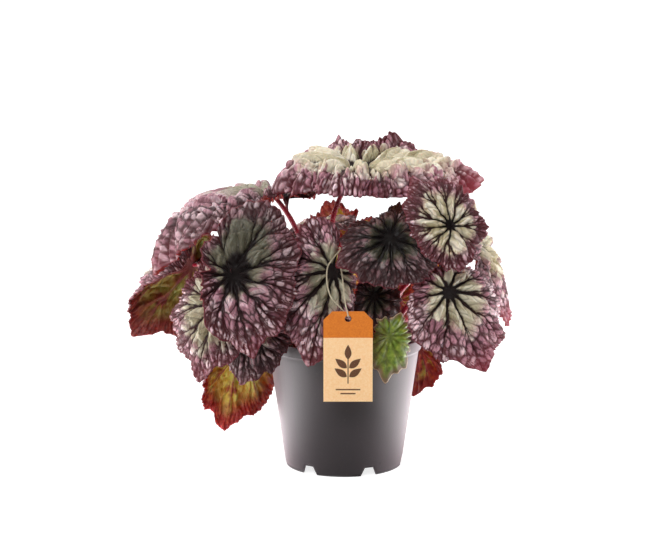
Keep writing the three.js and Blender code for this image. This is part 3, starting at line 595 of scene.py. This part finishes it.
def blade_surface(leaf, seed):
    """The blade's middle surface on a grid of rings and rays. Each ray keeps its length as it slopes.
    Puckers rise between the veins, the margin ruffles, and small teeth sharpen its outline."""
    length, size = leaf.length, leaf.length / 62
    rings, rays = round(min(0.8 * length, 76)), round(min(5.2 * length, 470))
    normal, tip, left = leaf_axes(leaf)
    angle = radians(linspace(-SINUS, SINUS, rays + 1))[None, :]
    share = linspace(0, 1, rings + 1)[:, None]
    round_it = circle(angle)
    teeth = np.abs(sin(angle * round(31 * size ** 0.5) / 2 + ripple(round_it, 0.7, seed + 5)))
    reach = ray_length(angle, leaf) + 1.7 * (0.6 - teeth) + 0.9 * ripple(round_it, 0.25, seed + 6)
    slope = slope_along((share[1:] + share[:-1]) / 2, angle, leaf)
    out, up = (cumsum(chain(0 * angle, part * reach / rings), axis=0)
               for part in (cos(slope), -sin(slope)))
    slope = slope_along(share, angle, leaf)
    fields = vein_map(reach, share, angle, leaf, seed)
    rim = lerp(1, 0.45, smooth(share, 0.7, 1))
    raised = 0.03 * length * smooth(share, 0.05, 0.3) * rim * between(angle)
    raised = raised + leaf.wave * share ** 3 * sin(leaf.waves * angle)
    dome = 1 - exp(-maximum(fields["vein"], 0) / 1.5)
    lump = 1 - exp(-((maximum(fields["side"], 0) / 1.2) ** 2))
    lump = lump * lerp(1.5, 3.1, smooth(share, 0.3, 0.65))
    puff = size ** 0.5 * (0.6 if leaf.green else 1)
    raised = raised + smooth(share, 0.04, 0.2) * puff * (3.3 * (dome - 0.5) + lump * dome)
    ruffle = ripple(round_it, 0.36, seed + 7) + 0.6 * ripple(round_it, 0.2, seed + 8)
    raised = raised + leaf.ruffle * size * share ** 5 * ruffle
    # The two basal lobes reach past each other, one above the other.
    lobe = smooth(np.abs(angle), radians(140), radians(SINUS)) * np.sign(angle)
    lap = leaf.lap * lobe * smooth(share, 0.03, 0.4)
    raised = raised + 0.16 * lap
    angle = angle + radians(lap)
    outwards = cos(angle)[..., None] * tip + sin(angle)[..., None] * left
    points = array(leaf.at) + outwards * (out + raised * sin(slope))[..., None]
    points = points + normal * (up + raised * cos(slope))[..., None]
    # A blade may have more painted shade towards one side, and keep its silver further out towards another.
    dark, toward, green, away = leaf.veer
    swing = lambda degrees: smooth(share, 0.05, 0.4) * cos(angle - radians(degrees))
    fields.update(
        share=share, edge=(1 - share) * reach,
        net=join(angle * 0.68 * length / 2.4, share * reach / 5, 0),
        # A painted red glow near the tip, for light shining through the thin blade.
        tip=smooth(share, 0.72, 1) * exp(-((angle / 0.22) ** 2)) * leaf.red,
        deep=clip(leaf.deep + dark * swing(toward), 0, 1),
        silver=leaf.silver + green * swing(away), gold=leaf.gold or leaf.silver, heart=leaf.heart,
        # The underside's darkening on the next line is painted shade.
        warm=leaf.warm, dusk=leaf.dusk)
    grid = {key: np.zeros((*out.shape, *np.shape(value)[2:])) + value for key, value in fields.items()}
    return points, normal, grid


def make_blade(leaf, seed, materials):
    """A closed blade, 1 mm thick at the stalk and 0.6 mm at the edge: the middle surface moved half of
    that along its normals to either side, with a wall round the outline. The centre row is one point."""
    points, facing, fields = blade_surface(leaf, seed)
    rows, columns = points.shape[:2]
    normals = unit(cross(np.gradient(points, axis=0), np.gradient(points, axis=1)))
    normals[0] = facing
    half = lerp(0.5, 0.3, linspace(0, 1, rows))[:, None, None]
    keep = lambda values: chain(values[:1, 0], values[1:].reshape(-1, *values.shape[2:]))
    top, under = keep(points + normals * half), keep(points - normals * half)
    count = len(top)
    skin, fan = grid_faces(rows - 1, columns, 1), fan_faces(0, 1 + arange(columns))
    number = arange(1, count).reshape(rows - 1, columns)
    outline = chain(number[:, 0], number[-1, 1:-1], number[::-1, -1])
    following = roll(outline, -1)
    wall = stack([following, outline, outline + count, following + count], axis=-1)[:-1]
    faces = [fan, skin, fan[:, ::-1] + count, skin[:, ::-1] + count, wall]
    face_materials = np.repeat([0, 0, 1, 1, 0], [len(part) for part in faces])
    doubled = {key: chain(*[keep(values)] * 2) for key, values in fields.items()}
    make_piece("puckered_leaf_" + leaf.name, chain(top, under), faces, materials,
               "blade_" + leaf.name, doubled, face_materials)


# ---- Stalks ----


def stalk_path(leaf, steps):
    """A cubic Bezier curve: out of the compost, up and over, and into the blade from behind."""
    normal, tip, _ = leaf_axes(leaf)
    start = array([*leaf.foot, SOIL.top - STALK.sink], float)
    end = array(leaf.at, float)
    span = np.linalg.norm(end - start)
    neck = radians(leaf.neck)
    back = -normal * cos(neck) - tip * sin(neck)
    lean = array([*leaf.foot, 0]) * STALK.lean
    rising = start + lean + [0, 0, leaf.lift or span * STALK.lift]
    arriving = end + back * (leaf.reach or span * STALK.reach)
    end = end + back * STALK.stop
    t = linspace(0, 1, steps)[:, None]
    u = 1 - t
    return u ** 3 * start + 3 * u * u * t * rising + 3 * u * t * t * arriving + t ** 3 * end


def tube_frame(path, guide):
    """Two unit vectors square to a path at each point: one square to the guide as well, and the other."""
    tangent = unit(np.gradient(path, axis=0))
    side = unit(cross(tangent, guide))
    return side, cross(tangent, side)


def tube_points(path, frame_vectors, radius, sides):
    """A circle of the given radius round each point of a path."""
    turn = turns(sides)[None, :, None]
    side, other = (v[:, None, :] for v in frame_vectors)
    radius = np.asarray(radius, float).reshape(-1, 1, 1)
    return path[:, None, :] + radius * (cos(turn) * side + sin(turn) * other)


def closed_tube(rings, start=0):
    """Faces of a tube from its grid of points, closed by a fan at each end, with the two poles last."""
    rows, columns = rings.shape[:2]
    count = rows * columns
    number = arange(count).reshape(rows, columns) + start
    points = chain(rings.reshape(-1, 3), [rings[0].mean(0), rings[-1].mean(0)])
    skin = grid_faces(rows, columns, start, True)[:, ::-1]
    ends = [fan_faces(start + count, number[0][::-1]), fan_faces(start + count + 1, number[-1])]
    return points, [skin, chain(*ends)]


def stalk_hairs(path, vectors, radius, count, seed):
    """Three-sided spikes that stand out of the stalk's skin at seeded places, each leaning a little."""
    rng = np.random.default_rng(seed)
    place = rng.uniform(0.08, 0.97, count) * (len(path) - 1)
    k, part = place.astype(int), (place % 1)[:, None]
    blend = lambda values: lerp(values[k], values[minimum(k + 1, len(path) - 1)], part)
    turn = rng.uniform(0, 2 * pi, count)[:, None]
    side, other = (blend(v) for v in vectors)
    out = cos(turn) * side + sin(turn) * other
    lean = unit(out + 0.35 * rng.normal(size=(count, 3)))
    root = blend(path) + out * (blend(radius[:, None]) - HAIR.rooted)
    length = rng.uniform(*HAIR.length, count)[:, None]
    across = unit(cross(lean, rng.normal(size=(count, 3))))
    corners = [root + HAIR.radius * (cos(turn) * across + sin(turn) * cross(lean, across))
               for turn in turns(3)]
    points = stack([*corners, root + lean * (length + HAIR.rooted)], axis=1).reshape(-1, 3)
    base = 4 * arange(count)[:, None]
    faces = [base + pattern for pattern in ([0, 1, 3], [1, 2, 3], [2, 0, 3], [2, 1, 0])]
    return points, chain(*faces)


def make_stalk(leaf, seed, materials):
    """A tapering, slightly lumpy tube along the stalk's curve, stopping at the blade, with soft hairs."""
    path, sides = stalk_path(leaf, 70), 20
    guide = cross(path[-1] - path[0], [0, 0, 1]) + [1e-3, 0, 0]
    vectors = tube_frame(path, unit(guide))
    t = linspace(0, 1, len(path))
    radius = lerp(STALK.foot, STALK.top, t) * (1 + 0.04 * ripple(path, 17, seed))
    radius = radius + STALK.flare * exp(-(t / 0.07) ** 2)
    points, faces = closed_tube(tube_points(path, vectors, radius, sides))
    length = np.linalg.norm(diff(path, axis=0), axis=1).sum()
    hairs, spikes = stalk_hairs(path, vectors, radius, round(HAIR.per_mm * length), seed + 1)
    along = chain(np.repeat(t, sides), [0, 1], np.full(len(hairs), 1))
    faces.append(spikes + len(points))
    make_piece("hairy_stalk_" + leaf.name, chain(points, hairs), faces, materials,
               "stalk_" + leaf.name, dict(along=along), np.repeat([0, 0, 1], [len(f) for f in faces]))


# ---- Rhizome and compost ----


def make_rhizome(material):
    """Knobbly arms that lie level: each a tube with rounded ends, swollen between rings of leaf scars."""
    points, faces, thick = np.zeros((0, 3)), [], RHIZOME.radius
    for seed, arm in enumerate(RHIZOME.arms):
        start, end = (array([*place, RHIZOME.level], float) for place in (arm[:2], arm[2:]))
        ends = thick * unit(end - start)
        s = (1 - cos(linspace(0, pi, 61))) / 2
        length = np.linalg.norm(end - start) + 2 * thick
        inset = minimum(s, 1 - s) * length
        round_end = np.sqrt(clip(1 - (1 - minimum(inset / thick, 1)) ** 2, 0, 1))
        knuckle = 1 + 0.07 * np.abs(sin(pi * s * length / RHIZOME.ring)) - 0.05
        path, up = lerp(start - ends, end + ends, s[:, None]), array([0, 0, 1.0])
        rings = tube_points(path, tube_frame(path, up), thick * round_end * knuckle, 40)
        rings = rings + 0.5 * ripple(rings, 5, seed + 40)[..., None] * up
        made, more = closed_tube(rings, len(points))
        points = chain(points, made)
        faces += more
    make_piece("knobbly_rhizome", points, faces, [material], "rhizome")


def pot_radius(z):
    return lerp(POT.foot, POT.top, z / (POT.height - POT.band))


def soil_height(x, y):
    """The compost's rolling top, as its solid has it, with crumbs of two sizes on it."""
    wide = sin(0.31 * x + 1.3) * cos(0.27 * y) + 0.6 * sin(0.53 * x - 0.71 * y)
    crumbs = np.abs(ripple(join(x, y), 6, 50, 9)) + 0.6 * np.abs(ripple(join(x, y), 2.6, 51, 9))
    return SOIL.top + SOIL.wave * wide + SOIL.crumbs * crumbs


def make_soil(material):
    """A plug that fills the pot: rows run from the foot's centre out, up the wall and back over the top.
    Loose crumbs, each a small squashed and jittered ball, lie on it."""
    foot, edge = POT.lift + POT.floor + GAP, SOIL.top - SOIL.edge
    inner = lambda z: pot_radius(z) - (POT.wall + GAP)
    out = chain([inner(foot)], inner(edge) * linspace(1, 0.01, 75))
    x, y = moveaxis(out[:, None, None] * circle(turns(260)), -1, 0)
    z = soil_height(x, y)
    z[0] = foot
    points, faces = closed_tube(join(x, y, z))
    rng, count = np.random.default_rng(60), SOIL.loose
    turn, tilt = np.meshgrid(turns(6), [-0.6, 0.6])
    ball = join(cos(tilt) * cos(turn), cos(tilt) * sin(turn), sin(tilt)).reshape(-1, 3)
    ball = chain(ball, [[0, 0, -1], [0, 0, 1]])
    radius, angle = SOIL.spread * np.sqrt(rng.uniform(0, 1, count)), rng.uniform(0, 2 * pi, count)
    x, y = radius * cos(angle), radius * sin(angle)
    size = rng.uniform(0.7, 2.1, (count, 1, 1)) * rng.uniform(0.6, 1.2, (count, 1, 3))
    crumbs = join(x, y, soil_height(x, y) + 0.3)[:, None, :] + size * (
        ball + 0.15 * rng.normal(size=(count, *ball.shape)))
    caps = chain(fan_faces(12, arange(6)[::-1]), fan_faces(13, arange(6, 12)))
    base = len(points) + len(ball) * arange(count)[:, None, None]
    faces += [(base + grid_faces(2, 6, 0, True)[:, ::-1]).reshape(-1, 4), (base + caps).reshape(-1, 3)]
    make_piece("crumbly_compost", chain(points, crumbs.reshape(-1, 3)), faces, [material], "soil")


# ---- Pot ----


def rounded(corners):
    """A closed outline of (out, up) corners with each corner turned into a short parabola."""
    corners = array(corners, float)
    start, end = (corners + unit(roll(corners, way, axis=0) - corners) * POT.bevel for way in (1, -1))
    t = linspace(0, 1, 4)[None, :, None]
    bend = (1 - t) ** 2 * start[:, None] + 2 * t * (1 - t) * corners[:, None] + t * t * end[:, None]
    return bend.reshape(-1, 2)


def pot_wall():
    """The wall and rim, turned round the axis: rows follow the rounded outline, columns go round. Where a
    notch is, the outline's lowest points are lifted to the notch's trapezium."""
    ledge, height, wall, rim = POT.height - POT.band, POT.height, POT.wall, POT.rim
    levels = linspace(0, ledge, 40)[1:-1]
    outer = [(pot_radius(z), z) for z in levels]
    inner = [(pot_radius(z) - wall, z) for z in levels[::-1]]
    foot = rounded([(pot_radius(0) - wall, 0), (pot_radius(0), 0)])
    band = rounded([(pot_radius(ledge), ledge), (rim, ledge), (rim, height), (rim - wall, height),
                    (pot_radius(ledge) - wall, ledge)])
    outline = chain(foot, outer, band, inner)
    half_foot, half_top, tall = NOTCH.foot / 2, NOTCH.top / 2, NOTCH.height
    first, side = radians(NOTCH.first - 90), radians(360 / NOTCH.count)
    # Columns crowd over each notch, from 0.4 mm before it to 0.4 mm past it.
    inside = linspace(-half_foot - 0.4, half_foot + 0.4, 41) / POT.foot
    outside = linspace(inside[-1], side + inside[0], 22)[1:-1]
    turn = chain(*[first + k * side + chain(inside, outside) for k in range(NOTCH.count)])
    s = POT.foot * (np.mod(turn - first + side / 2, side) - side / 2)
    lifted = tall * clip((half_foot - np.abs(s)) / (half_foot - half_top), 0, 1)
    out, level, low = outline[:, :1], outline[:, 1:], 2 * tall
    up = where(level < low, lifted + level * (low - lifted) / low, level)
    out = where(level < low, out + (up - level) * (pot_radius(1) - pot_radius(0)), out)
    points = join(out * cos(turn), out * sin(turn), up)
    return points.reshape(-1, 3), ring_faces(*points.shape[:2])


def pot_floor(start):
    """The floor: six wedges, each a grid from its round drainage hole out to the wedge's own edges, on
    both faces, joined round the hole and round the outside."""
    count, hole, ring = FLOOR_HOLE.count, FLOOR_HOLE.radius, FLOOR_HOLE.ring
    reach = pot_radius(POT.lift) - POT.wall + GAP
    half = pi / count
    ray = circle(turns(96))
    # How far each ray from the hole's centre, at (ring, 0), goes before it meets a wedge side or the arc.
    inward = ring * ray[:, 0]
    limits = [-inward + np.sqrt(inward ** 2 + reach ** 2 - ring ** 2)]
    for way in (1, -1):
        toward = ray @ array([-sin(half), way * cos(half)])
        limits.append(where(toward > 1e-9, ring * sin(half) / maximum(toward, 1e-9), 1e9))
    steps = linspace(0, 1, 9)[:, None]
    flat = array([ring, 0]) + ray * lerp(hole, np.min(limits, axis=0), steps)[..., None]
    points, faces = [], []
    for k in range(count):
        c, s = circle(2 * half * k - pi / 2)
        x, y = moveaxis(flat @ array([[c, s], [-s, c]]), -1, 0)
        above, below = (join(x, y, POT.lift + up) for up in (POT.floor, 0))
        loop = chain(above, below[::-1])
        faces.append(ring_faces(*loop.shape[:2]) + start + k * loop[..., 0].size)
        points.append(loop.reshape(-1, 3))
    return chain(*points), chain(*faces)


def make_pot(material):
    wall, wall_faces = pot_wall()
    floor, floor_faces = pot_floor(len(wall))
    make_piece("moulded_pot", chain(wall, floor), [wall_faces, floor_faces], [material], "pot")


# ---- Tag and loop ----


def card_outline(steps):
    """Evenly spaced points round the card's outline, from its lower left corner, with two corners cut."""
    side, top, foot = TAG.width / 2, TAG.drop, TAG.drop - TAG.height
    cut = TAG.corner
    corners = array([(-side, foot), (side, foot), (side, top - cut), (side - cut, top),
                        (cut - side, top), (-side, top - cut), (-side, foot)], float)
    travelled = chain([0], cumsum(np.linalg.norm(diff(corners, axis=0), axis=1)))
    at = np.sort(chain(linspace(0, travelled[-1], steps, endpoint=False), travelled[1:-1]))
    return join(*[np.interp(at, travelled, line) for line in corners.T])


def plate(outline, inner, front, back, start=0):
    """A closed flat plate between an inner outline and an outer one of as many points, both (x, z) and
    counter-clockwise from the front, from y = front to y = back."""
    rim = [(inner, front), (outline, front), (outline, back), (inner, back)]
    rows = stack([join(xz[:, 0], y, xz[:, 1]) for xz, y in rim])
    return rows.reshape(-1, 3), ring_faces(4, len(outline))[:, ::-1] + start


def tag_prints():
    """Generic print: a sprig of pointed leaflets on a stem, over two plain rules. A leaflet's half-width
    is a sine of the way along it, a little fuller near its foot."""
    t = linspace(0, 1, 25)
    half = 2.5 * sin(pi * t ** 0.8)
    leaflet = join(11 * chain(t, t[::-1]), chain(-half, half[::-1]))
    prints = []
    for level, lean in ((-10, 35), (-10, 145), (-3.5, 40), (-3.5, 140), (3, 90)):
        c, s = circle(radians(lean))
        prints.append(leaflet @ array([[c, s], [-s, c]]) + array([0.9 * np.sign(round(c, 6)), level]))
    for side, low, high in ((0.4, -15, 3.6), (9, -20, -19), (5.5, -23, -22)):
        prints.append(array([(-side, low), (side, low), (side, high), (-side, high)]))
    return prints


def make_tag(card, ink):
    """The card, with its print standing proud of the front as a film of ink does."""
    outline = card_outline(160)
    hole = TAG.hole * circle(np.arctan2(outline[:, 1], outline[:, 0]))
    half = TAG.thickness / 2
    points, faces = plate(outline, hole, -half, half)
    card_faces = len(faces)
    field = array([0, TAG.drop - TAG.header - 19])
    for shape in tag_prints():
        inner = shape.mean(0) + (shape - shape.mean(0)) * 0.02
        more, quads = plate(shape + field, inner + field, -half - TAG.film, -half + 0.02, len(points))
        points, faces = chain(points, more), chain(faces, quads)
    make_piece("printed_tag", points + array(TAG.at, float), [faces], [card, ink], "tag",
               face_materials=arange(len(faces)) >= card_faces, soft=False)


def on_blade(leaf, degrees, distance, lift):
    """A point at an angle from the midrib and a distance along the blade, lifted off its upper face."""
    normal, tip, left = leaf_axes(leaf)
    angle, steps = array(radians(degrees)), 60
    whole = ray_length(angle, leaf)
    count = round(float(distance / whole * steps))
    slope = slope_along((arange(count) + 0.5) / steps, angle, leaf)
    out, up = (cos(slope) * whole / steps).sum(), -(sin(slope) * whole / steps).sum()
    outwards = cos(angle) * tip + sin(angle) * left
    return array(leaf.at) + outwards * out + normal * (up + lift)


def loop_route(leaf):
    """Out through the hole, up over the blade, through its sinus, round its stalk and back down."""
    hole = array(TAG.at, float)
    rising, falling = ([hole + away for away in part] for part in (
        [(0, 0, 1.4), (-0.1, -1.5, 2.2), (-0.3, -1.8, 4), (-2, -2, 11)],
        [(-13, -1, 17), (-6, 1.4, 8.5), (-0.4, 1.5, 2.2)]))
    round_stalk = [on_blade(leaf, *place) for place in (
        (60, 8, 5), (180, 12, 2), (180, 13, -2.5), (100, 5, -6), (0, 7, -7), (-100, 6, -6), (180, 17, -2.5),
        (180, 16, 2), (-100, 6, 5))]
    return array([*rising, *round_stalk, *falling])


def closed_spline(route, steps):
    """A centripetal Catmull-Rom curve round the route: each knot's time grows by the square root of the
    distance from the last, and each span blends the lines through its four nearest points."""
    before, start, end, after = (roll(route, k, axis=0)[:, None, :] for k in (1, 0, -1, -2))
    gap = lambda a, b: np.linalg.norm(b - a, axis=-1, keepdims=True) ** 0.5
    t0, t1 = 0, gap(before, start)
    t2 = t1 + gap(start, end)
    t3 = t2 + gap(end, after)
    t = lerp(t1, t2, linspace(0, 1, steps, endpoint=False)[None, :, None])
    blend = lambda a, b, low, high: a + (b - a) * (t - low) / (high - low)
    first, second, third = blend(before, start, t0, t1), blend(start, end, t1, t2), blend(end, after, t2, t3)
    return blend(blend(first, second, t0, t2), blend(second, third, t1, t3), t1, t2).reshape(-1, 3)


def make_loop(leaf, material):
    """A round cord along the closed curve. Its frame is carried along the curve and the leftover twist
    is shared out evenly, so that the ring closes on itself."""
    path = closed_spline(loop_route(leaf), 22)
    tangent = unit(roll(path, -1, axis=0) - roll(path, 1, axis=0))
    sides = [cross(tangent[0], [1.0, 0, 0])]
    for step in [*tangent, tangent[0]]:
        sides.append(unit(sides[-1] - step * (sides[-1] @ step)))
    last, sides = sides[-1], array(sides[1:-1])
    other = cross(tangent, sides)
    turn = -np.arctan2(last @ other[0], last @ sides[0]) * linspace(0, 1, len(path))[:, None]
    vectors = (cos(turn) * sides + sin(turn) * other, -sin(turn) * sides + cos(turn) * other)
    rings = tube_points(path, vectors, LOOP.radius, 12)
    travelled = chain([0], cumsum(np.linalg.norm(diff(path, axis=0), axis=1)))
    wound = travelled[:, None] / LOOP.ridge + turns(12) / (2 * pi)
    make_piece("wound_elastic_loop", rings.reshape(-1, 3), [ring_faces(len(path), 12)[:, ::-1]], [material],
               "tag_loop", dict(turn=wound.ravel()))


# ---- Stage, light and camera ----


def make_floor():
    """A white sweep of lit acrylic: one wide plane at the height of the pot's foot. As light it glows
    beside and behind the pot, so that the pot's sides catch it and its front stays dark."""
    mesh = bpy.data.meshes.new("floor")
    mesh.from_pydata([(-20, -20, 0), (20, -20, 0), (20, 20, 0), (-20, 20, 0)], [], [(0, 1, 2, 3)])
    acrylic, node, place = new_material("white_lit_acrylic", "place")
    away = node("VectorMath LENGTH", [place], "Value")
    glow = node(EASE, (away, 0.06, 0.35, 0.8, 1))
    from_pot = node("VectorMath SUBTRACT", (place, AXIS * MM))
    side = node("Math ABSOLUTE", [node("SeparateXYZ", [from_pot])])
    side = node(TIMES_PLUS, (node("SeparateXYZ", [from_pot], "Y"), 0.5, side))
    lit = node(EASE, (side, 0.03, 0.2, 0, 5.5))
    near = node(EASE, (away, 0.5, 0.3))
    lit = node(TIMES, (lit, near))
    glow = node("Mix", (node("LightPath"), lit, glow))
    mesh.materials.append(finish_surface(acrylic, colour("#a8a8a8"), Roughness=0.6,
                                         Emission_Color=colour("#ffffff"), Emission_Strength=glow))
    floor = new_object("floor", mesh)


def light_studio():
    """White room: bright seen straight, dimmer as light, with a softbox on each side, overhead and in
    front. A softbox is a rectangular lamp that faces the plant's middle."""
    scene, world = bpy.context.scene, bpy.data.worlds.new("white_studio")
    scene.world, world.use_nodes = world, True
    world.node_tree.nodes.clear()
    node = partial(add, world.node_tree)
    depth = node("SeparateXYZ", [node("TexCoord", out="Generated")], "Y")
    lit = node(EASE, (depth, -0.3, 0.5, 0.1, 0.9))
    strength = node("Mix", (node("LightPath"), lit, 1.1))
    node("OutputWorld", [node("Background", (colour("#ffffff"), strength))])
    for side, place, size, power in (("left", (-0.85, 0.1, 0.45), (0.8, 1), 7),
                                      ("right", (0.85, 0.1, 0.45), (0.8, 1), 6),
                                      ("top", (-0.15, 0.15, 1.1), (0.7, 0.6), 4),
                                      ("front", (-0.4, -1.2, 1.05), (0.7, 0.7), 17)):
        lamp = bpy.data.lights.new("softbox_" + side, "AREA")
        lamp.shape, lamp.size, lamp.size_y, lamp.energy = "RECTANGLE", *size, power
        light = new_object(lamp.name, lamp)
        light.location = place
        toward = unit(array([0, 0, 0.14]) - place)
        light.rotation_euler = (np.arccos(-toward[2]), 0, np.arctan2(toward[0], -toward[1]) + pi)
    scene.view_settings.view_transform = "Standard"


def make_camera():
    """An 85 mm lens, 1.2 m away, a little above the leaves."""
    lens = bpy.data.cameras.new("camera")
    lens.lens, lens.sensor_width = CAMERA.lens, 36
    camera = new_object("camera", lens)
    tilt = radians(CAMERA.elevation)
    back = array([0, -cos(tilt), sin(tilt)])
    camera.location = (AXIS + CAMERA.target + CAMERA.distance * back) * MM
    camera.rotation_euler = (pi / 2 - tilt, 0, 0)
    bpy.context.scene.camera = camera


# ---- Assembly ----

make_camera()
light_studio()
make_floor()

upper, under, young, stalk, hair = leaf_upper(), leaf_under(), young_upper(), stalk_skin(), stalk_hair()
for number, leaf in enumerate(LEAVES):
    make_blade(leaf, 100 + 20 * number, [young if leaf.green else upper, under])
    make_stalk(leaf, 600 + 20 * number, [stalk, hair])
make_rhizome(rhizome_bark())
make_soil(compost())
make_pot(pot_plastic())
make_tag(printed_card(), printed_ink())
make_loop(next(leaf for leaf in LEAVES if leaf.name == "centre"), elastic())
